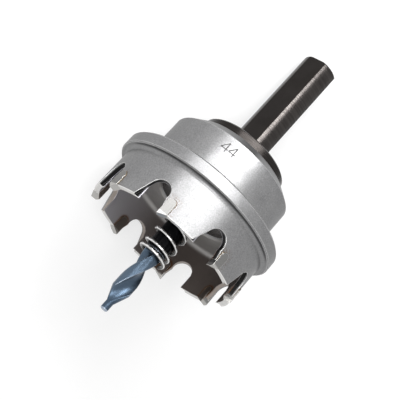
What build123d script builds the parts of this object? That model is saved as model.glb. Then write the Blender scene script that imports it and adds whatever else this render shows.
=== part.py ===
from build123d import *
from math import atan, cos, degrees, radians, sin, tan
import os

# Hole saw with brazed cutting tips, a three-flat arbor, a pilot drill and an ejector spring.
# The saw is modelled upright: the axis is Z, the teeth point to -Z and the shank to +Z,
# and Z = 0 is the front of the depth flange. At the end it is laid down as it comes to rest.

# Cup: the teeth stand proud of its wall, so the size of the hole sets its radius
cutting_r = 21.9
tip_outer_overhang = 0.4
tip_inner_overhang = 0.3
cup_wall = 1.5
cup_depth = 12.1
floor_fillet = 1.5
cup_root_fillet = 0.9

# Depth flange
flange_overhang = 1.9
flange_thickness = 3.5
flange_front_chamfer = 0.3
flange_back_chamfer = 0.4

# Hub
hub_r = 17.7
hub_length = 11.0
hub_cone_length = 2.6
hub_end_r = 14.5
hub_root_fillet = 0.5

# Teeth and the gullets between them
tooth_count = 8
tooth_stagger = 2.3
gullet_height = 6.6
gullet_r = 2.7
face_lean = 14.0
heel_slope = 20.0

# Cutting tips
tip_thickness = 2.3
tip_proud = 0.2
tip_height = 4.9
tip_reach = 0.9
tip_heel_reach = 0.05
tip_side_relief = 0.25
tip_corner = 0.6

# Arbor: a stub pressed into the hub, a collar behind it and the shank
stub_r = 10.3
stub_chamfer = 0.6
stub_recess = 0.6
collar_r = 12.4
collar_length = 3.15
collar_chamfer = 0.35
shank_r = 5.0
shank_flat = 4.3
shank_length = 32.25
shank_end_round = 0.5
flat_count = 3

# Pilot drill
drill_shank_r = 3.0
drill_grip = 17.0
drill_shank_reach = 15.0
drill_shoulder = 0.6
drill_r = 2.55
drill_reach = 33.2
drill_lead = 34.0
drill_web = 1.7
flute_r = 3.5
flute_angle = -7.0
nose_r = 1.0
nose_length = 2.4
nose_taper = 3.9
nose_point = 0.25
chisel_r = 0.75
bore_clearance = 0.05
bore_point_angle = 59.0

# Ejector spring
spring_r = 3.75
wire_r = 0.45
spring_reach = 16.0
rear_turns = 1.0
active_turns = 3.5
front_turns = 1.5
rear_pitch = 0.95
front_pitch = 1.8
spring_front_angle = 186.0
spring_points = 12

# Set screw that holds the pilot drill
screw_r = 2.5
screw_length = 8.0
screw_chamfer = 0.4
screw_clearance = 0.05
screw_angle = 240.0
screw_flat_depth = 0.5
screw_flat_length = 7.0
hex_across = 2.5
hex_depth = 2.5

# Places that follow from the sizes above
cup_r = cutting_r - tip_outer_overhang
flange_r = cup_r + flange_overhang
cup_inner_r = cup_r - cup_wall
rim_z = -cup_depth
hub_front_z = flange_thickness
hub_end_z = hub_front_z + hub_length + hub_cone_length
collar_end_z = hub_end_z + collar_length
shank_end_z = collar_end_z + shank_length
tooth_pitch = 360.0 / tooth_count
screw_z = hub_front_z + hub_length / 2
tip_inner_r = cup_inner_r - tip_inner_overhang
past = 1.0


def around(angle, distance=0.0):
    """Plane facing outward at an angle round the axis: its x runs along the rim, its y along +Z."""
    outward = Vector(cos(radians(angle)), sin(radians(angle)), 0)
    along_rim = Vector(-sin(radians(angle)), cos(radians(angle)), 0)
    return Plane(origin=outward * distance, x_dir=along_rim, z_dir=outward)


def corner(face, x, y):
    """The corner of a flat outline nearest to a point."""
    return face.vertices().sort_by_distance((x, y, 0))[0]


def turned(points):
    """Solid of revolution round Z from (radius, height) points."""
    return revolve(Plane.XZ * make_face(Polyline(*points, close=True)), Axis.Z)


# Saw body

def body_blank():
    """Cup, flange and hub, turned in one piece with a bore for the arbor."""
    outline = make_face(
        Polyline(
            (stub_r, stub_chamfer),
            (stub_r + stub_chamfer, 0),
            (cup_inner_r, 0),
            (cup_inner_r, rim_z),
            (cup_r, rim_z),
            (cup_r, 0),
            (flange_r, 0),
            (flange_r, flange_thickness),
            (hub_r, hub_front_z),
            (hub_r, hub_front_z + hub_length),
            (hub_end_r, hub_end_z),
            (stub_r, hub_end_z),
            close=True,
        )
    )
    outline = fillet(corner(outline, cup_inner_r, 0), floor_fillet)
    outline = fillet(corner(outline, cup_r, 0), cup_root_fillet)
    outline = chamfer(corner(outline, flange_r, 0), flange_front_chamfer)
    outline = chamfer(corner(outline, flange_r, flange_thickness), flange_back_chamfer)
    outline = fillet(corner(outline, hub_r, hub_front_z), hub_root_fillet)
    return revolve(Plane.XZ * outline, Axis.Z)


def tooth_angle(index):
    """Place of a tooth round the cup: every other one stands a little further round."""
    stagger = tooth_stagger if index % 2 == 0 else 0.0
    return index * tooth_pitch + stagger


def gullet_cutter(angle):
    """Round-topped gullet ahead of a tooth: it leans with the tooth's face and slopes up its heel."""
    lean = radians(face_lean)
    slope = radians(heel_slope)
    top_z = rim_z + gullet_height
    centre_z = top_z - gullet_r
    face_z = centre_z - gullet_r * sin(lean)
    face_x = -(face_z - rim_z) * tan(lean)
    centre_x = face_x - gullet_r * cos(lean)
    heel_x = centre_x - gullet_r * cos(slope)
    heel_z = centre_z + gullet_r * sin(slope)
    low_z = rim_z - past
    low_face_x = (rim_z - low_z) * tan(lean)
    low_heel_x = heel_x - (heel_z - low_z) * tan(slope)
    outline = make_face(
        [
            Line((low_face_x, low_z), (face_x, face_z)),
            ThreePointArc((face_x, face_z), (centre_x, top_z), (heel_x, heel_z)),
            Line((heel_x, heel_z), (low_heel_x, low_z)),
            Line((low_heel_x, low_z), (low_face_x, low_z)),
        ]
    )
    depth = cup_wall + 2 * past
    return extrude(around(angle, cup_inner_r - past) * outline, depth)


def tip_outline():
    """Side view of a cutting tip: upright faces, a round upper end and a sloping end that cuts."""
    front = -tip_proud
    back = tip_thickness - tip_proud
    half = tip_thickness / 2
    top_z = rim_z + tip_height - tip_reach
    end_z = rim_z - tip_reach
    heel_z = rim_z - tip_heel_reach
    return make_face(
        [
            Line((front, end_z), (front, top_z - half)),
            ThreePointArc((front, top_z - half), (front + half, top_z), (back, top_z - half)),
            Line((back, top_z - half), (back, heel_z)),
            Line((back, heel_z), (front, end_z)),
        ]
    )


def tip_pocket(angle):
    """Pocket milled through the wall, to the outline of the tip."""
    depth = cup_wall + 2 * past
    return extrude(around(angle, cup_inner_r - past) * tip_outline(), depth)


def screw_hole(outer_r):
    """Threaded hole from the drill's bore outward, shown at its nominal size."""
    return extrude(around(screw_angle) * Pos(0, screw_z, 0) * Circle(screw_r), outer_r)


def saw_body():
    body = body_blank()
    for index in range(tooth_count):
        body -= gullet_cutter(tooth_angle(index))
        body -= tip_pocket(tooth_angle(index))
    return body - screw_hole(hub_r + past)


# Cutting tips

def cutting_tip(index):
    """Brazed tip, the common part of its side view, its plan and its end view."""
    plane = around(tooth_angle(index))
    side = extrude(plane * tip_outline(), cutting_r + past)
    front = -tip_proud
    back = tip_thickness - tip_proud
    low_z = rim_z - tip_reach
    high_z = rim_z + tip_height
    plan = make_face(
        Polyline(
            (front, tip_inner_r),
            (front, cutting_r),
            (back, cutting_r - tip_side_relief),
            (back, tip_inner_r + tip_side_relief / 2),
            close=True,
        )
    )
    lying = Plane(origin=(0, 0, low_z), x_dir=plane.x_dir, z_dir=(0, 0, -1))
    plan_solid = extrude(lying * plan, low_z - high_z)
    outer_corner = tip_corner if index % 2 == 0 else 0
    inner_corner = tip_corner - outer_corner
    end_points = [
        (tip_inner_r, high_z),
        (tip_inner_r, low_z + inner_corner),
        (tip_inner_r + inner_corner, low_z),
        (cutting_r - outer_corner, low_z),
        (cutting_r, low_z + outer_corner),
        (cutting_r, high_z),
    ]
    distinct = [p for i, p in enumerate(end_points) if p != end_points[i - 1]]
    facing = Plane(origin=plane.x_dir * (front - past), x_dir=plane.z_dir, z_dir=-plane.x_dir)
    end_view = extrude(facing * make_face(Polyline(*distinct, close=True)), -tip_thickness - 2 * past)
    return side & plan_solid & end_view


# Arbor

def drill_bore():
    """Blind bore for the drill's shank, with the cone that a drill leaves at its end."""
    r = drill_shank_r + bore_clearance
    cone = r / tan(radians(bore_point_angle))
    return turned(
        [
            (0, -past),
            (r, -past),
            (r, stub_recess + drill_grip),
            (0, stub_recess + drill_grip + cone),
        ]
    )


def arbor():
    """Turned blank with three milled flats, the drill's bore and the set screw's hole."""
    outline = make_face(
        Polyline(
            (0, stub_recess),
            (stub_r, stub_recess),
            (stub_r, hub_end_z),
            (collar_r, hub_end_z),
            (collar_r, collar_end_z),
            (shank_r, collar_end_z),
            (shank_r, shank_end_z),
            (0, shank_end_z),
            close=True,
        )
    )
    outline = chamfer(corner(outline, collar_r, hub_end_z), collar_chamfer)
    outline = chamfer(corner(outline, collar_r, collar_end_z), collar_chamfer)
    outline = fillet(corner(outline, shank_r, shank_end_z), shank_end_round)
    blank = revolve(Plane.XZ * outline, Axis.Z)
    for index in range(flat_count):
        plane = around(270.0 + index * 360.0 / flat_count, shank_flat)
        beside = Pos(0, collar_end_z + shank_length, 0) * Rectangle(4 * shank_r, 2 * shank_length)
        blank -= extrude(plane * beside, shank_r)
    return blank - drill_bore() - screw_hole(collar_r)


# Pilot drill

def drill_blank():
    """Shank, fluted length and the stepped nose, all turned round the axis."""
    tip_z = -drill_reach
    back_z = stub_recess + drill_grip
    return turned(
        [
            (0, tip_z),
            (chisel_r, tip_z),
            (nose_r, tip_z + nose_point),
            (nose_r, tip_z + nose_length),
            (drill_r, tip_z + nose_length + nose_taper),
            (drill_r, -drill_shank_reach),
            (drill_shank_r, -drill_shank_reach + drill_shoulder),
            (drill_shank_r, back_z),
            (0, back_z),
        ]
    )


def flute_cutter(angle):
    """One right-hand flute: a round section turned along the fluted length."""
    start_z = -drill_reach - past
    length = drill_reach + past - drill_shank_reach
    offset = drill_web / 2 + flute_r
    section = Pos(offset * cos(radians(angle)), offset * sin(radians(angle)), start_z) * Circle(flute_r)
    turn = 360.0 * length / drill_lead
    return Solid.extrude_linear_with_rotation(
        section.face(), (0, 0, start_z), (0, 0, length), turn
    )


def pilot_drill():
    drill = drill_blank()
    for angle in (flute_angle, flute_angle + 180.0):
        drill -= flute_cutter(angle)
    flat_r = drill_shank_r - screw_flat_depth
    flat = Pos(0, screw_z, 0) * Rectangle(4 * drill_shank_r, screw_flat_length)
    return drill - extrude(around(screw_angle, flat_r) * flat, drill_shank_r)


# Ejector spring

def spring_rise(turn):
    """Height above the front end after a number of turns: close wound, open, close wound."""
    front_length = front_turns * front_pitch
    rear_length = rear_turns * rear_pitch
    free_length = stub_recess - wire_r + spring_reach
    if turn < front_turns:
        return turn * front_pitch
    if turn < front_turns + active_turns:
        active_pitch = (free_length - front_length - rear_length) / active_turns
        return front_length + (turn - front_turns) * active_pitch
    return free_length - (front_turns + active_turns + rear_turns - turn) * rear_pitch


def ejector_spring():
    """Left-hand coil, close wound at both ends, that stands on the arbor's front face."""
    turns = front_turns + active_turns + rear_turns
    steps = round(turns * spring_points)
    path = []
    for step in range(steps + 1):
        turn = turns * step / steps
        angle = radians(spring_front_angle - 360.0 * turn)
        z = spring_rise(turn) - spring_reach
        path.append((spring_r * cos(angle), spring_r * sin(angle), z))
    wire = Wire(Spline(*path).edges())
    section = Plane(origin=wire @ 0, z_dir=wire % 0) * Circle(wire_r)
    return sweep(section, wire, is_frenet=True)


# Set screw

def set_screw():
    """Hexagon socket set screw that presses on the flat of the drill's shank."""
    inner = drill_shank_r - screw_flat_depth
    r = screw_r - screw_clearance
    on_axis = Pos(0, screw_z, 0)
    screw = extrude(around(screw_angle, inner) * on_axis * Circle(r), screw_length)
    screw = chamfer(screw.edges().filter_by(GeomType.CIRCLE), screw_chamfer)
    socket_plane = around(screw_angle, inner + screw_length - hex_depth) * on_axis
    socket = RegularPolygon(hex_across / 2, 6, major_radius=False)
    return screw - extrude(socket_plane * socket, hex_depth + past)


# Resting place

def rest_angle():
    """Tilt of the axis when the saw lies on its flange's rim and on what first touches behind it."""
    rim = (flange_r, flange_thickness - flange_back_chamfer)
    behind = [
        (hub_r, hub_front_z + hub_length),
        (hub_end_r, hub_end_z),
        (collar_r, collar_end_z - collar_chamfer),
        (shank_flat, shank_end_z),
    ]
    return min(degrees(atan((rim[0] - r) / (z - rim[1]))) for r, z in behind)


def laid_down(pieces):
    """Turns the upright saw on its side, sets it on Z = 0 and centres it on the origin."""
    turn = Rot(0, 90 + rest_angle(), 0) * Rot(0, 0, 90)
    lying = {name: turn * piece for name, piece in pieces.items()}
    boxes = [piece.bounding_box() for piece in lying.values()]
    low_x = min(box.min.X for box in boxes)
    high_x = max(box.max.X for box in boxes)
    low_z = min(box.min.Z for box in boxes)
    shift = Pos(-(low_x + high_x) / 2, 0, -low_z)
    return {name: shift * piece for name, piece in lying.items()}


pieces = {
    "saw_body": saw_body(),
    "arbor": arbor(),
    "pilot_drill": pilot_drill(),
    "set_screw": set_screw(),
    "ejector_spring": ejector_spring(),
}
for index in range(tooth_count):
    pieces[f"carbide_tip_{index + 1}"] = cutting_tip(index)

os.makedirs("parts", exist_ok=True)
for name, piece in laid_down(pieces).items():
    export_step(piece, f"parts/{name}.step")
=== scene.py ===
# %% [markdown]
# # A hole saw with brazed tips
#
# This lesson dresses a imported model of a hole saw. The saw lies on a white floor, on the rim of its
# depth flange and on the end of its shank, with the cutting tips and the pilot drill up in the air.
# The solids are right as they come, so they keep their meshes and get finishes made of shader nodes.
# What is too thin for a solid is added as pieces of its own: the beads of braze round the tips and
# the number cut into the hub.
#
# The frame comes first. Every length below is in millimetres in the saw's own axes, where Z runs
# from the teeth to the shank, and it is turned into metres in the frame only when a mesh is made.

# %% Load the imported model
from math import atan2, cos, degrees, pi, radians, sin

import bpy
import numpy as np
from mathutils import Matrix, Vector


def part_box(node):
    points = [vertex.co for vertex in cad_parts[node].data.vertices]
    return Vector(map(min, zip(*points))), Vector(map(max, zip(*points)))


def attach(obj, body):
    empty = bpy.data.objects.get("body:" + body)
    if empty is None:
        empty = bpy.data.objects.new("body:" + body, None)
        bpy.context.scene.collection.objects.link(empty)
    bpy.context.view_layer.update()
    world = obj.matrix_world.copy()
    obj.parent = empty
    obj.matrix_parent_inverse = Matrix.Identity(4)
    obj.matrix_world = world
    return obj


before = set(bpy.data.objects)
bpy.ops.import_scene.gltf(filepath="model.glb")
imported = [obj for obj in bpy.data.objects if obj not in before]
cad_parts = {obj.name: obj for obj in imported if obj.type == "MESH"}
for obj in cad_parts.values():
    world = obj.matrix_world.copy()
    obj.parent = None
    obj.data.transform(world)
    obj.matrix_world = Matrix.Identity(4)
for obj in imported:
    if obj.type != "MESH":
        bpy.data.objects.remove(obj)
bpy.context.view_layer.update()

mm = 0.001

# %% [markdown]
# ## The saw's own axes
#
# The saw leans because its flange is wider than its shank. The lean follows from the two circles
# that touch the floor, and the place follows from the floor and from the shank's far end. Knowing
# both, a point given by its angle, radius and height on the saw can be put anywhere in the frame.

# %% Where the saw lies
cup_r = 21.5
cup_inner_r = 20.0
rim_z = -12.1
flange_r = 23.4
flange_touch_z = 3.1
hub_r = 17.7
collar_end_z = 20.25
shank_end_z = 52.5
shank_r = 5.0
shank_end_r = 4.5
shank_flat = 4.3
tooth_count = 8
tooth_stagger = radians(2.3)

lean = atan2(flange_r - shank_flat, shank_end_z - flange_touch_z)
turn = Matrix(((0, sin(lean), cos(lean)), (1, 0, 0), (0, cos(lean), -sin(lean))))
high_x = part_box("arbor")[1].x / mm
place = Vector((
    high_x - cos(lean) * shank_end_z - sin(lean) * shank_end_r,
    0,
    cos(lean) * flange_r + sin(lean) * flange_touch_z,
))
print("lean in degrees:", round(degrees(lean), 3), "place in mm:", [round(v, 3) for v in place])


def to_frame(points):
    """Points in the saw's axes, in millimetres, turned by the lean, moved and put in metres."""
    return (np.asarray(points) @ np.array(turn).T + np.array(place)) * mm


def on_round(angle, radius, height):
    """The point at an angle in radians, a radius and a height: (r cos a, r sin a, z)."""
    return np.stack([radius * np.cos(angle), radius * np.sin(angle), height + 0 * radius * angle], -1)


# %% [markdown]
# ## The camera
#
# A real photograph fixes four things: where the camera stands, what it looks at, how far it is
# rolled and how long its lens is. The camera stands about 25 cm away and looks down steeply, and it
# is rolled so far that the shank points up to the right.

# %% Camera at the photograph's angle
aim = Vector((-6.698, 1.256, 23.192)) * mm
view_azimuth = radians(91.692)
view_elevation = radians(61.833)
view_roll = radians(141.071)
view_distance = 254.19 * mm
focal_length = 93.18


def camera_turn(azimuth, elevation, roll):
    """Axes of a camera that looks at its aim from an azimuth and elevation, then rolls."""
    back = Vector((
        cos(elevation) * cos(azimuth),
        cos(elevation) * sin(azimuth),
        sin(elevation),
    ))
    level = Vector((0, 0, 1)).cross(back).normalized()
    upright = back.cross(level)
    right = cos(roll) * level + sin(roll) * upright
    up = cos(roll) * upright - sin(roll) * level
    return Matrix((right, up, back)).transposed()


axes = camera_turn(view_azimuth, view_elevation, view_roll)
camera_data = bpy.data.cameras.new("camera")
camera_data.lens = focal_length
camera_data.sensor_width = 36.0
camera_data.clip_start = 0.01
camera = bpy.data.objects.new("camera", camera_data)
camera.matrix_world = Matrix.Translation(aim + axes.col[2] * view_distance) @ axes.to_4x4()
bpy.context.scene.collection.objects.link(camera)
bpy.context.scene.camera = camera
print("camera at", [round(v, 4) for v in camera.location])

# %% [markdown]
# ## Helpers for meshes and nodes
#
# The thin pieces of this saw, its beads of braze and its cut number, are all round bars that lie on a
# surface. A curve with a bevel could make them too, but a bead swells and thins, so one set of helpers
# works them out instead: a path of points, a radius at each point and the outward direction there give
# a closed tube, as whole arrays.
#
# The other helpers keep the node code short. One adds a node and links or sets its inputs, one starts
# a node group with named sockets, one starts a material, and one fills the shader's sockets at the end.

# %% Lines of points become closed tubes
tube_sides = 8


def tube_points(path, radius, sides, out):
    """Rings round a path, each the point plus radius (cos a across + sin a out), then two poles."""
    along = np.gradient(path, axis=0)
    along /= np.linalg.norm(along, axis=1, keepdims=True)
    across = np.cross(out, along)
    across /= np.linalg.norm(across, axis=1, keepdims=True)
    angle = np.arange(sides) * 2 * pi / sides
    ring = np.cos(angle)[:, None] * across[:, None] + np.sin(angle)[:, None] * out[:, None]
    rings = path[:, None] + radius[:, None, None] * ring
    return np.concatenate([rings.reshape(-1, 3), path[:1], path[-1:]])


def tube_faces(count, sides, first):
    """Four-sided faces between the rings and a fan of triangles round each pole."""
    index = first + np.arange(count * sides).reshape(count, sides)
    after = np.roll(index, -1, axis=1)
    walls = np.stack([index[:-1], after[:-1], after[1:], index[1:]], -1).reshape(-1, 4)
    low_pole = np.full(sides, first + count * sides)
    low = np.stack([after[0], index[0], low_pole], -1)
    high = np.stack([index[-1], after[-1], low_pole + 1], -1)
    return walls.tolist() + low.tolist() + high.tolist()


def tubes_piece(name, tubes, sides, material):
    """One piece made of closed tubes, each given by its path, its radii and its outward directions."""
    points, faces = [], []
    for path, radius, out in tubes:
        faces += tube_faces(len(path), sides, sum(len(part) for part in points))
        points.append(tube_points(path, radius, sides, out))
    mesh = bpy.data.meshes.new(name)
    mesh.from_pydata(to_frame(np.concatenate(points)).tolist(), [], faces)
    mesh.shade_smooth()
    mesh.materials.append(material)
    piece = bpy.data.objects.new(name, mesh)
    bpy.context.scene.collection.objects.link(piece)
    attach(piece, "root")
    return piece


print("a tube of 3 rings has", len(tube_faces(3, tube_sides, 0)), "faces")

# %% Nodes, groups and materials


def add(tree, kind, settings=None, inputs=None):
    """Adds a node, sets its properties, and links its inputs to sockets or sets them to values."""
    made = tree.nodes.new("ShaderNode" + kind)
    for name, value in (settings or {}).items():
        setattr(made, name, value)
    for name, value in (inputs or {}).items():
        if isinstance(value, bpy.types.NodeSocket):
            tree.links.new(value, made.inputs[name])
        else:
            made.inputs[name].default_value = value
    return made


def math(tree, operation, first, second=0.0, third=0.0):
    """One sum of two or three values, as a socket."""
    inputs = {0: first, 1: second, 2: third}
    return add(tree, "Math", {"operation": operation}, inputs).outputs[0]


def ramp(tree, value, low, high, out_low=0.0, out_high=1.0):
    """Smooth step of a value from low to high, as a socket."""
    inputs = {"Value": value, "From Min": low, "From Max": high, "To Min": out_low, "To Max": out_high}
    return add(tree, "MapRange", {"interpolation_type": "SMOOTHSTEP"}, inputs).outputs[0]


def blend(tree, mask, first, second):
    """Colour that goes from first to second as the mask goes from 0 to 1, as a socket."""
    made = add(tree, "Mix", {"data_type": "RGBA"}, {"Factor": mask, "A": first, "B": second})
    return made.outputs["Result"]


def toward(tree, angle, middle):
    """1 at an angle round the saw, 0 a quarter turn from it and -1 opposite, as a socket."""
    return math(tree, "COSINE", math(tree, "SUBTRACT", angle, middle))


def start_group(name, inputs, outputs):
    """A node group with its sockets: (name, kind, default) going in and (name, kind) coming out."""
    tree = bpy.data.node_groups.new(name, "ShaderNodeTree")
    for label, kind, default in inputs:
        socket = tree.interface.new_socket(label, in_out="INPUT", socket_type="NodeSocket" + kind)
        socket.default_value = default
    for label, kind in outputs:
        tree.interface.new_socket(label, in_out="OUTPUT", socket_type="NodeSocket" + kind)
    return tree, tree.nodes.new("NodeGroupInput").outputs, tree.nodes.new("NodeGroupOutput").inputs


def use(tree, group, inputs=None):
    """Places a node group in a tree, as its output sockets."""
    return add(tree, "Group", {"node_tree": group}, inputs).outputs


def start_material(name):
    """An empty material with a Principled shader linked to its output."""
    material = bpy.data.materials.new(name)
    material.use_nodes = True
    tree = material.node_tree
    tree.nodes.clear()
    shader = add(tree, "BsdfPrincipled")
    output = add(tree, "OutputMaterial")
    tree.links.new(shader.outputs["BSDF"], output.inputs["Surface"])
    return material, tree, shader


def feed(material, shader, values):
    """Sets or links the shader's own sockets, and prints how large the material is."""
    tree = material.node_tree
    for name, value in values.items():
        if isinstance(value, bpy.types.NodeSocket):
            tree.links.new(value, shader.inputs[name])
        else:
            shader.inputs[name].default_value = value
    print(material.name, "has", len(tree.nodes), "nodes and", len(tree.links), "links")


def show_group(group):
    """Prints what a node group puts out."""
    names = [item.name for item in group.interface.items_tree if item.in_out == "OUTPUT"]
    print(group.name, "puts out", ", ".join(names))


print("made in", bpy.app.version_string)

# %% [markdown]
# ## Effects that several finishes share
#
# The first group turns Object coordinates back into the saw's own axes and gives the radius, the
# angle and the height of a point. With those, a finish can say "inside the cup" or "round the hub".
# The others are the finish itself: grain left by blasting, marks left by a lathe, and edges worn
# bright. They could be painted as pictures, but noise and bevels follow any shape and never run out
# of pixels.

# %% Group: radius, angle and height on the saw
saw_axes, _, leave = start_group(
    "saw axes",
    [],
    [("Point", "Vector"), ("Radius", "Float"), ("Angle", "Float"), ("Height", "Float")],
)
coordinates = add(saw_axes, "TexCoord").outputs["Object"]
settled = add(
    saw_axes,
    "Mapping",
    {"vector_type": "TEXTURE"},
    {
        "Vector": coordinates,
        "Location": place * mm,
        "Rotation": turn.to_euler(),
        "Scale": (mm, mm, mm),
    },
).outputs[0]
parts = add(saw_axes, "SeparateXYZ", None, {0: settled}).outputs
flat_point = add(saw_axes, "CombineXYZ", None, {0: parts[0], 1: parts[1]}).outputs[0]
length = add(saw_axes, "VectorMath", {"operation": "LENGTH"}, {0: flat_point}).outputs["Value"]
saw_axes.links.new(settled, leave["Point"])
saw_axes.links.new(length, leave["Radius"])
saw_axes.links.new(math(saw_axes, "ARCTAN2", parts[1], parts[0]), leave["Angle"])
saw_axes.links.new(parts[2], leave["Height"])
show_group(saw_axes)

# %% Group: grain of a blasted surface
blasted_grain, enter, leave = start_group(
    "blasted grain",
    [("Point", "Vector", (0, 0, 0)), ("Grain size", "Float", 0.15)],
    [("Grain", "Float"), ("Clouds", "Float")],
)
fine_scale = math(blasted_grain, "DIVIDE", 1.0, enter["Grain size"])
fine = add(
    blasted_grain, "TexNoise", None, {"Vector": enter["Point"], "Scale": fine_scale, "Detail": 3.0}
)
broad = add(
    blasted_grain, "TexNoise", None, {"Vector": enter["Point"], "Scale": 0.22, "Detail": 4.0}
)
blasted_grain.links.new(fine.outputs["Fac"], leave["Grain"])
blasted_grain.links.new(broad.outputs["Fac"], leave["Clouds"])
show_group(blasted_grain)

# %% Group: rings and streaks left by turning
turned_marks, enter, leave = start_group(
    "turned marks",
    [
        ("Radius", "Float", 1.0),
        ("Angle", "Float", 0.0),
        ("Height", "Float", 0.0),
        ("Marks per mm", "Float", 6.0),
        ("Length", "Float", 2.0),
    ],
    [("Marks", "Float")],
)
round_about = add(
    turned_marks,
    "CombineXYZ",
    None,
    {
        0: math(turned_marks, "MULTIPLY", enter["Radius"], enter["Marks per mm"]),
        1: math(turned_marks, "DIVIDE", math(turned_marks, "SINE", enter["Angle"]), enter["Length"]),
        2: math(turned_marks, "MULTIPLY", enter["Height"], enter["Marks per mm"]),
    },
).outputs[0]
turned = add(turned_marks, "TexNoise", None, {"Vector": round_about, "Scale": 1.0, "Detail": 3.0})
turned_marks.links.new(turned.outputs["Fac"], leave["Marks"])
show_group(turned_marks)

# %% Group: edges rubbed bright
worn_edges, enter, leave = start_group(
    "worn edges",
    [("Width", "Float", 0.0002), ("Wear", "Float", 1.0)],
    [("Mask", "Float"), ("Normal", "Vector")],
)
rounded = add(worn_edges, "Bevel", {"samples": 6}, {"Radius": enter["Width"]}).outputs[0]
true_normal = add(worn_edges, "NewGeometry").outputs["Normal"]
alike = add(
    worn_edges, "VectorMath", {"operation": "DOT_PRODUCT"}, {0: rounded, 1: true_normal}
).outputs["Value"]
bent = ramp(worn_edges, math(worn_edges, "SUBTRACT", 1.0, alike), 0.004, 0.10)
worn_edges.links.new(math(worn_edges, "MULTIPLY", bent, enter["Wear"]), leave["Mask"])
worn_edges.links.new(rounded, leave["Normal"])
show_group(worn_edges)

# %% [markdown]
# ## How far a point is from a brazed tip
#
# The heat of brazing leaves a brown halo round each tip, and the halo needs the distance to a tip.
# Every other tooth stands a little further round, so the pattern repeats over two teeth, and the
# angle is folded into that double pitch once for each of them. A tip's side view is a slot with a
# half-round end: below the centre of that end the distance runs along the rim, and above it the
# distance is to the centre. The nearer tip counts.

# %% Group: distance from a brazed tip
tip_front = -0.2
tip_back = 2.1
tip_half = (tip_back - tip_front) / 2
tip_centre = (tip_front + tip_back) / 2
tip_round_z = -9.25
wall_r = (cup_r + cup_inner_r) / 2
double_pitch = 4 * pi / tooth_count

tip_distance, enter, leave = start_group(
    "distance from a tip",
    [("Angle", "Float", 0.0), ("Height", "Float", 0.0)],
    [("Distance", "Float")],
)
above_centre = math(tip_distance, "SUBTRACT", enter["Height"], tip_round_z)
above = math(tip_distance, "MAXIMUM", above_centre, 0.0)
above_squared = math(tip_distance, "MULTIPLY", above, above)


def distance_to(tooth_angle):
    """Distance in mm from the tips of every other tooth, the first at an angle."""
    centre = tooth_angle + tip_centre / wall_r
    start = 0.5 - centre / double_pitch
    turns = math(tip_distance, "MULTIPLY_ADD", enter["Angle"], 1 / double_pitch, start)
    folded = math(tip_distance, "SUBTRACT", math(tip_distance, "FLOORED_MODULO", turns, 1.0), 0.5)
    along = math(tip_distance, "MULTIPLY", folded, double_pitch * wall_r)
    squared = math(tip_distance, "MULTIPLY_ADD", along, along, above_squared)
    return math(tip_distance, "SUBTRACT", math(tip_distance, "SQRT", squared), tip_half)


nearer = math(tip_distance, "MINIMUM", distance_to(tooth_stagger), distance_to(double_pitch / 2))
tip_distance.links.new(nearer, leave["Distance"])
show_group(tip_distance)

# %% [markdown]
# ## Satin steel of the body
#
# The body is blasted steel: a neutral grey metal, not very rough, whose grain breaks up the broad
# highlight. Inside the cup nobody blasts it, so it stays as it was turned. It is painted lighter on one
# side as a painted sheen and browner on the other as a heat stain, and brazing stains it round each tip
# and leaves brown threads of spatter on the outside. The walls of the gullets carry painted shade,
# black on one side of the saw, and a painted lit tone on the other. The rim is ground, and the outer
# edges are rubbed and also carry a painted highlight, so those are the lightest.
#
# All this is one solid, so one material has to tell the places apart. It does so with masks made of
# the radius, the height, the angle and the distance from a tip, and mixes one tone after another.

# %% Tones of the steel
steel_material, tree, shader = start_material("satin_steel")
axis = use(tree, saw_axes)
grain = use(tree, blasted_grain, {"Point": axis["Point"], "Grain size": 0.30})
worn = use(tree, worn_edges, {"Width": 0.20 * mm, "Wear": 1.0})
heat = use(tree, tip_distance, {"Angle": axis["Angle"], "Height": axis["Height"]})
turned_tone = use(
    tree,
    turned_marks,
    {
        "Radius": axis["Radius"],
        "Angle": axis["Angle"],
        "Height": axis["Height"],
        "Marks per mm": 5.0,
        "Length": 0.5,
    },
)
steel_grey = (0.17, 0.17, 0.175, 1)
steel_light = (0.30, 0.30, 0.30, 1)
inside_painted_sheen = (0.55, 0.54, 0.58, 1)
inside_brown = (0.125, 0.105, 0.095, 1)
painted_shade_cut = (0.008, 0.008, 0.008, 1)
painted_lit_cut = (0.34, 0.30, 0.27, 1)
floor_grey = (0.34, 0.33, 0.32, 1)
spatter_brown = (0.12, 0.075, 0.05, 1)
rubbed_and_highlit_steel = (0.85, 0.85, 0.84, 1)
ground_steel = (0.78, 0.77, 0.75, 1)
straw_brown = (0.11, 0.045, 0.015, 1)
warm_angle = radians(200)
shaded_cut_angle = radians(58)

# %% Outside, inside and the walls of the gullets
clouds = math(tree, "MULTIPLY_ADD", grain["Clouds"], 0.5, -0.65)
tone = math(tree, "MULTIPLY_ADD", grain["Grain"], 1.8, clouds)
outside = blend(tree, tone, steel_grey, steel_light)
inside = math(
    tree,
    "MULTIPLY",
    ramp(tree, axis["Radius"], cup_r - 0.25, cup_r - 0.45),
    ramp(tree, axis["Height"], 0.4, 0.2),
)
# Inside the cup a painted sheen makes the wall lighter away from warm_angle; toward it the wall is a
# darker brown heat stain.
sheen_to_stain_side = toward(tree, axis["Angle"], warm_angle)
wall_sheen_and_stain = blend(tree, ramp(tree, sheen_to_stain_side, -0.5, 0.8), inside_painted_sheen, inside_brown)
inner_tone = blend(tree, ramp(tree, axis["Height"], -0.5, -1.9), floor_grey, wall_sheen_and_stain)
in_cut = math(
    tree,
    "MULTIPLY",
    ramp(tree, axis["Radius"], cup_inner_r + 0.04, cup_inner_r + 0.16),
    ramp(tree, axis["Height"], -4.5, -5.2),
)
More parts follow.
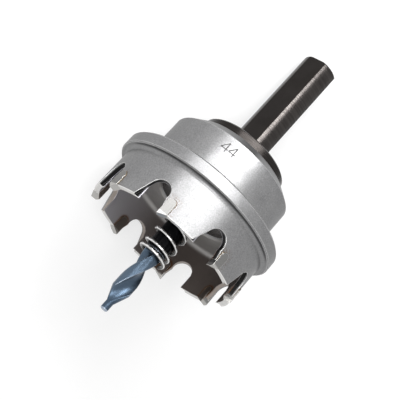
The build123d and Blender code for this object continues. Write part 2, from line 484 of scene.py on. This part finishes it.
# The gullet walls are painted light and shade by their angle round the saw: black painted shade on one
# side, a lighter painted lit tone on the other.
shaded_cut_side = toward(tree, axis["Angle"], shaded_cut_angle)
cut_light_and_shade = blend(tree, ramp(tree, shaded_cut_side, -0.25, -0.02), painted_lit_cut, painted_shade_cut)
walls = blend(tree, inside, outside, blend(tree, in_cut, inner_tone, cut_light_and_shade))

# %% Halo, spatter, ground rim, and rubbed edges with a painted highlight
inner_face = ramp(tree, axis["Radius"], cup_inner_r + 0.35, cup_inner_r + 0.10, 0.0, 0.85)
near_tip = math(tree, "MULTIPLY", ramp(tree, heat["Distance"], 0.95, 0.10), inner_face)
stained = blend(tree, near_tip, walls, straw_brown)
threads = add(
    tree, "TexNoise", None, {"Vector": axis["Point"], "Scale": 0.9, "Detail": 2.0, "Distortion": 1.5}
).outputs["Fac"]
off_middle = math(tree, "ABSOLUTE", math(tree, "SUBTRACT", threads, 0.5))
thread = ramp(tree, off_middle, 0.028, 0.008)
on_thread = math(tree, "MULTIPLY", thread, ramp(tree, heat["Distance"], 1.8, 0.6))
spatter = math(tree, "MULTIPLY", on_thread, ramp(tree, inside, 1.0, 0.0, 0.0, 0.65))
stained = blend(tree, spatter, stained, spatter_brown)
on_rim = ramp(tree, axis["Height"], rim_z + 0.12, rim_z + 0.02)
ground = blend(tree, on_rim, stained, ground_steel)
# The outer edges are lighter from rubbing and also as a painted highlight along them.
outer_edge = ramp(tree, inside, 0.9, 0.1, 0.10, 0.95)
rubbed_and_highlit_edge = math(tree, "MULTIPLY", worn["Mask"], outer_edge)
steel_colour = blend(tree, rubbed_and_highlit_edge, ground, rubbed_and_highlit_steel)
grain_height = math(tree, "MULTIPLY_ADD", turned_tone["Marks"], 0.25, grain["Grain"])
steel_bump = add(
    tree,
    "Bump",
    None,
    {"Height": grain_height, "Strength": 0.18, "Distance": 0.05 * mm, "Normal": worn["Normal"]},
)
feed(steel_material, shader, {
    "Base Color": steel_colour,
    "Metallic": ramp(tree, inside, 0.0, 1.0, 1.0, 0.5),
    "Specular IOR Level": 0.25,
    "Specular Tint": (0.72, 0.72, 0.72, 1),
    "Roughness": ramp(tree, grain["Clouds"], 0.3, 0.7, 0.34, 0.42),
    "Normal": steel_bump.outputs[0],
})

# %% [markdown]
# ## Black oxide of the arbor and the set screw
#
# Black oxide is a thin skin that keeps the metal's gloss but takes its colour, so it is a metal whose
# own colour is nearly black, with a low roughness. It is thinner, and browner, along the rounds of the
# shank, where the lathe's marks break the highlight into streaks. A dark varnish over steel would show
# white glints, which the real skin doesn't.

# %% Black oxide, thinner on the shank's rounds
oxide_material, tree, shader = start_material("black_oxide")
axis = use(tree, saw_axes)
grain = use(tree, blasted_grain, {"Point": axis["Point"], "Grain size": 0.35})
worn = use(tree, worn_edges, {"Width": 0.15 * mm, "Wear": 1.0})
marks = use(
    tree,
    turned_marks,
    {
        "Radius": axis["Radius"],
        "Angle": axis["Angle"],
        "Height": axis["Height"],
        "Marks per mm": 9.0,
        "Length": 0.7,
    },
)
oxide_black = (0.019, 0.017, 0.016, 1)
oxide_thin = (0.075, 0.069, 0.066, 1)
rubbed_oxide = (0.30, 0.28, 0.26, 1)
on_shank = ramp(tree, axis["Height"], collar_end_z, collar_end_z + 0.2)
off_flats = ramp(tree, axis["Radius"], shank_r - 0.1, shank_r - 0.02)
between_flats = math(tree, "MULTIPLY", on_shank, off_flats)
streaks = math(tree, "MULTIPLY", between_flats, ramp(tree, marks["Marks"], 0.35, 0.62))
clouded = math(tree, "MULTIPLY", grain["Clouds"], 0.3)
tone = math(tree, "MULTIPLY_ADD", streaks, 0.6, clouded)
oxide_colour = blend(
    tree,
    math(tree, "MULTIPLY", worn["Mask"], 0.45),
    blend(tree, tone, oxide_black, oxide_thin),
    rubbed_oxide,
)
dull = ramp(tree, on_shank, 0.0, 1.0, 0.06, 0.0)
polish = ramp(tree, marks["Marks"], 0.35, 0.65, 0.24, 0.17)
oxide_bump = add(
    tree,
    "Bump",
    None,
    {"Height": marks["Marks"], "Strength": 0.10, "Distance": 0.05 * mm, "Normal": worn["Normal"]},
)
feed(oxide_material, shader, {
    "Base Color": oxide_colour,
    "Metallic": 1.0,
    "Roughness": math(tree, "ADD", polish, dull),
    "Normal": oxide_bump.outputs[0],
})

# %% [markdown]
# ## Carbide of the cutting tips
#
# A tip is sintered, so its flanks have a very fine dull grain. Its end and its edges are ground, and
# those are the brightest lines of the saw. The bevel mask finds the edges, and the height alone finds
# the end, so no tip needs a mask of its own.

# %% Carbide with ground ends
carbide_material, tree, shader = start_material("carbide")
axis = use(tree, saw_axes)
grain = use(tree, blasted_grain, {"Point": axis["Point"], "Grain size": 0.10})
worn = use(tree, worn_edges, {"Width": 0.10 * mm, "Wear": 1.0})
carbide_grey = (0.14, 0.14, 0.14, 1)
carbide_light = (0.25, 0.245, 0.235, 1)
sooted_grey = (0.21, 0.175, 0.155, 1)
ground_end = (0.55, 0.54, 0.52, 1)
ground_edge = (0.85, 0.83, 0.79, 1)
end_face = ramp(tree, axis["Height"], rim_z + 0.2, rim_z - 0.2)
tone = math(tree, "MULTIPLY_ADD", grain["Grain"], 1.8, -0.4)
flank = blend(
    tree,
    ramp(tree, axis["Radius"], cup_inner_r + 0.2, cup_inner_r),
    blend(tree, tone, carbide_grey, carbide_light),
    sooted_grey,
)
carbide_colour = blend(
    tree,
    math(tree, "MULTIPLY", worn["Mask"], 0.8),
    blend(tree, math(tree, "MULTIPLY", end_face, 0.6), flank, ground_end),
    ground_edge,
)
carbide_bump = add(
    tree,
    "Bump",
    None,
    {"Height": grain["Grain"], "Strength": 0.15, "Distance": 0.03 * mm, "Normal": worn["Normal"]},
)
feed(carbide_material, shader, {
    "Base Color": carbide_colour,
    "Metallic": 1.0,
    "Roughness": ramp(tree, grain["Clouds"], 0.3, 0.7, 0.30, 0.40),
    "Normal": carbide_bump.outputs[0],
})

# %% [markdown]
# ## Blued steel of the pilot drill
#
# Steam leaves a blue-grey skin on a twist drill, and the part that the arbor grips is black. The blue
# is darker deep in the flutes, as painted shade, and lighter on the lands. The radius separates lands
# from flutes. The flutes are many narrow faces, so the bevel's rounded normal is used for shading,
# which makes their highlights run smoothly, and the lands' edges and the point are ground a little
# brighter.

# %% Blued skin, with painted shade deep in the flutes
drill_material, tree, shader = start_material("blued_steel")
axis = use(tree, saw_axes)
grain = use(tree, blasted_grain, {"Point": axis["Point"], "Grain size": 0.5})
worn = use(tree, worn_edges, {"Width": 0.45 * mm, "Wear": 1.0})
painted_flute_shade = (0.030, 0.048, 0.075, 1)
flute_light = (0.105, 0.145, 0.195, 1)
shank_black = (0.018, 0.018, 0.020, 1)
ground_blue = (0.42, 0.48, 0.56, 1)
drill_r = 2.55
flutes_end_z = -15.0
point_z = -33.2
in_grip = ramp(tree, axis["Height"], flutes_end_z - 0.4, flutes_end_z + 0.4)
# Painted shade: the blue darkens toward the flute cores and lightens toward the lands.
clear_of_flute_shade = ramp(tree, axis["Radius"], 1.0, 2.5, 0.10, 0.45)
blued = blend(tree, math(tree, "MULTIPLY_ADD", grain["Clouds"], 0.6, clear_of_flute_shade), painted_flute_shade, flute_light)
at_point = ramp(tree, axis["Height"], point_z + 0.45, point_z + 0.25, 0.0, 0.8)
on_land = ramp(tree, axis["Radius"], drill_r - 0.25, drill_r - 0.07, 0.0, 0.6)
ground = math(tree, "MAXIMUM", math(tree, "MULTIPLY", worn["Mask"], on_land), at_point)
drill_colour = blend(tree, ground, blend(tree, in_grip, blued, shank_black), ground_blue)
feed(drill_material, shader, {
    "Base Color": drill_colour,
    "Metallic": 1.0,
    "Roughness": ramp(tree, grain["Grain"], 0.3, 0.7, 0.30, 0.36),
    "Normal": worn["Normal"],
})

# %% [markdown]
# ## Bright wire of the ejector spring
#
# The wire's tone is painted light and shade: dark on its inner side, as painted shade, and bright on
# its outer side, as a painted highlight. So the radius from the saw's axis does the work again: past
# the middle of the wire, the tone goes from dark to bright.

# %% Wire with painted shade inside and a painted highlight outside
spring_material, tree, shader = start_material("spring_steel")
axis = use(tree, saw_axes)
grain = use(tree, blasted_grain, {"Point": axis["Point"], "Grain size": 0.3})
spring_mid_r = 3.75
wire_painted_shade = (0.030, 0.029, 0.028, 1)
wire_painted_highlight = (0.78, 0.775, 0.77, 1)
# Painted highlight on the wire's outer side and painted shade on its inner side.
outer_lit_side = ramp(tree, axis["Radius"], spring_mid_r + 0.12, spring_mid_r + 0.40)
wire_highlight_mask = math(tree, "MULTIPLY", outer_lit_side, ramp(tree, grain["Grain"], 0.25, 0.6, 0.6, 1.0))
feed(spring_material, shader, {
    "Base Color": blend(tree, wire_highlight_mask, wire_painted_shade, wire_painted_highlight),
    "Metallic": 1.0,
    "Roughness": ramp(tree, grain["Grain"], 0.3, 0.7, 0.12, 0.20),
})

# %% [markdown]
# ## Braze, and the floor of the cut number
#
# Braze is a pale gold alloy that burns to brown in patches. A cut number is bare steel, but it lies
# too deep to catch the light, so it reads as dark metal. Both are small, so a mix of two tones by the
# grain is all that shows.

# %% Braze of the beads
braze_material, tree, shader = start_material("braze")
axis = use(tree, saw_axes)
grain = use(tree, blasted_grain, {"Point": axis["Point"], "Grain size": 0.25})
braze_gold = (0.25, 0.21, 0.145, 1)
braze_burnt = (0.12, 0.075, 0.045, 1)
burnt = ramp(tree, grain["Grain"], 0.40, 0.58)
soot = ramp(tree, axis["Radius"], cup_inner_r + 0.5, cup_inner_r, 0.0, 0.7)
feed(braze_material, shader, {
    "Base Color": blend(tree, math(tree, "MAXIMUM", burnt, soot), braze_gold, braze_burnt),
    "Metallic": 1.0,
    "Roughness": ramp(tree, grain["Clouds"], 0.3, 0.7, 0.45, 0.55),
})

# %% Dark floor of the cut number
number_material, tree, shader = start_material("cut_number")
axis = use(tree, saw_axes)
grain = use(tree, blasted_grain, {"Point": axis["Point"], "Grain size": 0.2})
cut_dark = (0.045, 0.044, 0.043, 1)
cut_light = (0.13, 0.128, 0.125, 1)
feed(number_material, shader, {
    "Base Color": blend(tree, grain["Grain"], cut_dark, cut_light),
    "Metallic": 1.0,
    "Roughness": ramp(tree, grain["Clouds"], 0.3, 0.7, 0.4, 0.5),
})

# %% [markdown]
# ## A finish for every solid
#
# A finish is given by changing the material slot only, so each solid keeps its own mesh and its own
# place. The solids that aren't named here are the cutting tips.

# %% Give each solid its finish
finishes = {
    "saw_body": steel_material,
    "arbor": oxide_material,
    "set_screw": oxide_material,
    "pilot_drill": drill_material,
    "ejector_spring": spring_material,
}
for name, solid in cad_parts.items():
    finish = finishes.get(name, carbide_material)
    solid.data.materials.clear()
    solid.data.materials.append(finish)
    print(name, "gets", finish.name, "and has", len(solid.data.polygons), "faces")

# %% [markdown]
# ## Beads of braze
#
# Braze that runs out of the joint between a tip and its pocket sets as a thin bead, gold where it is
# clean and brown where it burnt. Each bead goes up the back of the tip, round its half-round end and
# down its front, once on the outside of the cup and once on the inside. The tip is flat, and a bead
# lies on the round wall, so a step s to the side of the tooth is the angle asin(s / r) on the wall.
# A bead is never even, so its radius swells and thins along the path and runs out at both ends.
# Two sine waves do that the same way each time, where random numbers would need a seed.

# %% One bead for the outside and one for the inside of each tip
bead_steps = 56
bead_radius = 0.12
bead_lift = 0.02
front_foot_z = -11.2


def tip_outline(steps):
    """Side steps and heights of a tip's outline: up the back, half a turn, then down the front."""
    back = tip_round_z - rim_z
    front = tip_round_z - front_foot_z
    way = np.linspace(0, back + pi * tip_half + front, steps)
    turned = np.clip((way - back) / tip_half, 0, pi)
    side = tip_centre + tip_half * np.cos(turned)
    height = tip_round_z + tip_half * np.sin(turned)
    height += np.minimum(way - back, 0) - np.maximum(way - back - pi * tip_half, 0)
    return side, height


def bead(tooth_angle, radius, seed):
    """A bead on a wall: a step s to the side is the angle asin(s / r); two sine waves swell it."""
    side, height = tip_outline(bead_steps)
    angle = tooth_angle + np.arcsin(side / radius)
    path = on_round(angle, radius, height)
    out = on_round(angle, 1.0, 0 * height)
    along = np.linspace(0, 1, bead_steps)
    swell = 1 + 0.25 * np.sin(17 * along + seed) + 0.18 * np.sin(41 * along + 2 * seed)
    ends = np.clip(np.sin(pi * along), 0.02, 1) ** 0.4
    return path, bead_radius * swell * ends, out


for number in range(tooth_count):
    tooth_angle = 2 * pi * number / tooth_count + tooth_stagger * (1 - number % 2)
    loops = [
        bead(tooth_angle, cup_r + bead_lift, number),
        bead(tooth_angle, cup_inner_r - bead_lift, number + 9),
    ]
    piece = tubes_piece(f"braze_{number + 1}", loops, tube_sides, braze_material)
    print(piece.name, "has", len(piece.data.polygons), "faces")

# %% [markdown]
# ## The number cut into the hub
#
# The hub carries the saw's width in millimetres as two plain digits. A cut line is a narrow dark
# groove, and at this size it reads as a thin dark stroke, so each stroke is a slim bar sunk into the
# hub until only a sliver stands proud.

# %% Two digits from three strokes each
digit_width = 1.9
digit_foot_z = 10.1
digit_top_z = 12.8
digit_angles = (radians(45.7), radians(52.7))
stroke_radius = 0.15
stroke_depth = 0.07
stroke_steps = 14
four = [((0.74, 1.0), (0.0, 0.30)), ((0.0, 0.30), (1.0, 0.30)), ((0.74, 1.0), (0.74, 0.0))]


def stroke(centre_angle, start, end):
    """A straight stroke laid on the hub: a step s across is the angle s / r, a step up is a height."""
    along = np.linspace(0, 1, stroke_steps)
    across = start[0] + (end[0] - start[0]) * along - 0.5
    up = start[1] + (end[1] - start[1]) * along
    angle = centre_angle + across * digit_width / hub_r
    height = digit_foot_z + up * (digit_top_z - digit_foot_z)
    path = on_round(angle, hub_r - stroke_depth, height)
    return path, np.full(stroke_steps, stroke_radius), on_round(angle, 1.0, 0 * height)


strokes = [stroke(angle, start, end) for angle in digit_angles for start, end in four]
piece = tubes_piece("cut_number", strokes, tube_sides, number_material)
print(piece.name, "has", len(piece.data.polygons), "faces")

# %% [markdown]
# ## Floor and background
#
# The floor is white and takes a soft shadow. Part of its white is its own light, seen only by the
# camera and by reflections, so that it reads as white without more light on the saw. Away from the
# saw, where no shadow falls, the camera sees a little more of that light, so the floor runs into the
# background with no line. The sky is white to the camera and to reflections, because bright metal
# shows what is round it, and dimmer as a lamp, so that the floor's shadow stays.

# %% White floor that keeps the shadow
floor_half = 0.9
floor_white = 0.42
floor_glow = 0.60
shadow_reach = 0.10
white_from = 0.45
far_white = 0.4
floor_mesh = bpy.data.meshes.new("floor")
corners = [(x * floor_half, y * floor_half, 0) for x, y in ((-1, -1), (1, -1), (1, 1), (-1, 1))]
floor_mesh.from_pydata(corners, [], [(0, 1, 2, 3)])
floor = bpy.data.objects.new("floor", floor_mesh)
bpy.context.scene.collection.objects.link(floor)

floor_material, tree, shader = start_material("floor")
rays = add(tree, "LightPath").outputs
seen = math(tree, "MAXIMUM", rays["Is Camera Ray"], rays["Is Glossy Ray"])
seen = math(tree, "MAXIMUM", seen, rays["Is Transmission Ray"])
from_middle = add(
    tree, "VectorMath", {"operation": "LENGTH"}, {0: add(tree, "TexCoord").outputs["Object"]}
).outputs["Value"]
far_out = ramp(tree, from_middle, shadow_reach, white_from, 0.0, far_white)
far_glow = math(tree, "MULTIPLY", rays["Is Camera Ray"], far_out)
feed(floor_material, shader, {
    "Base Color": (floor_white, floor_white, floor_white, 1),
    "Roughness": 0.9,
    "Specular IOR Level": 0.0,
    "Emission Color": (1, 1, 1, 1),
    "Emission Strength": math(tree, "MULTIPLY_ADD", seen, floor_glow, far_glow),
})
floor_mesh.materials.append(floor_material)

# %% White background, and a plainer sky for the light that falls on the floor
sky_light = 0.45
world = bpy.data.worlds.new("studio")
world.use_nodes = True
bpy.context.scene.world = world
tree = world.node_tree
tree.nodes.clear()
rays = add(tree, "LightPath").outputs
shown = math(tree, "MAXIMUM", rays["Is Camera Ray"], rays["Is Glossy Ray"])
shown = math(tree, "MAXIMUM", shown, rays["Is Transmission Ray"])
strength = ramp(tree, shown, 0.0, 1.0, sky_light, 1.0)
background = add(tree, "Background", None, {"Color": (1, 1, 1, 1), "Strength": strength})
output = add(tree, "OutputWorld")
tree.links.new(background.outputs[0], output.inputs["Surface"])

# %% [markdown]
# ## Light
#
# Metal shows lamps as shapes, so the lamps are soft boxes, whose edges are drawn on the steel. The
# key box hangs behind the camera and gives an even light, with a shadow that falls under the saw.
# The strip box is long and narrow: its reflection is the bright band down the hub, the flange and the
# cup. The shank is thinner and turns that band away, so a short strip of its own continues it there.

# %% Three soft boxes
box_distance = 0.60


def soft_box(name, direction, distance, width, height, radiance):
    """Area lamp that faces the saw; its power is radiance times pi times its area, in watts."""
    lamp = bpy.data.lights.new(name, "AREA")
    lamp.shape = "RECTANGLE"
    lamp.size = width
    lamp.size_y = height
    lamp.energy = radiance * pi * width * height
    box = bpy.data.objects.new(name, lamp)
    away = Vector(direction).normalized()
    facing = away.to_track_quat("Z", "Y").to_matrix().to_4x4()
    box.matrix_world = Matrix.Translation(away * distance) @ facing
    bpy.context.scene.collection.objects.link(box)
    print(name, "power", round(lamp.energy, 2), "W")
    return box


def strip_box(name, start, end, width, radiance):
    """Long narrow soft box that runs between two directions, as far away as the others."""
    first, last = (Vector(end_point).normalized() * box_distance for end_point in (start, end))
    middle = (first + last) / 2
    box = soft_box(name, middle, middle.length, width, (last - first).length, radiance)
    away = middle.normalized()
    along = (last - first).normalized()
    turned = Matrix((along.cross(away), along, away)).transposed()
    box.matrix_world = Matrix.Translation(middle) @ turned.to_4x4()
    return box


soft_box("key_box", (0.0, 0.45, 0.89), box_distance, 0.34, 0.34, 4.4)
strip_box("strip_box", (0.45, 0.86, 0.24), (0.65, 0.04, 0.76), 0.08, 13.5)
strip_box("shank_box", (0.71, 0.53, 0.46), (0.73, 0.20, 0.65), 0.06, 15.0)

# %% [markdown]
# ## The last steps
#
# The Standard view shows a colour as it is written.

# %% View settings
bpy.context.scene.view_settings.view_transform = "Standard"
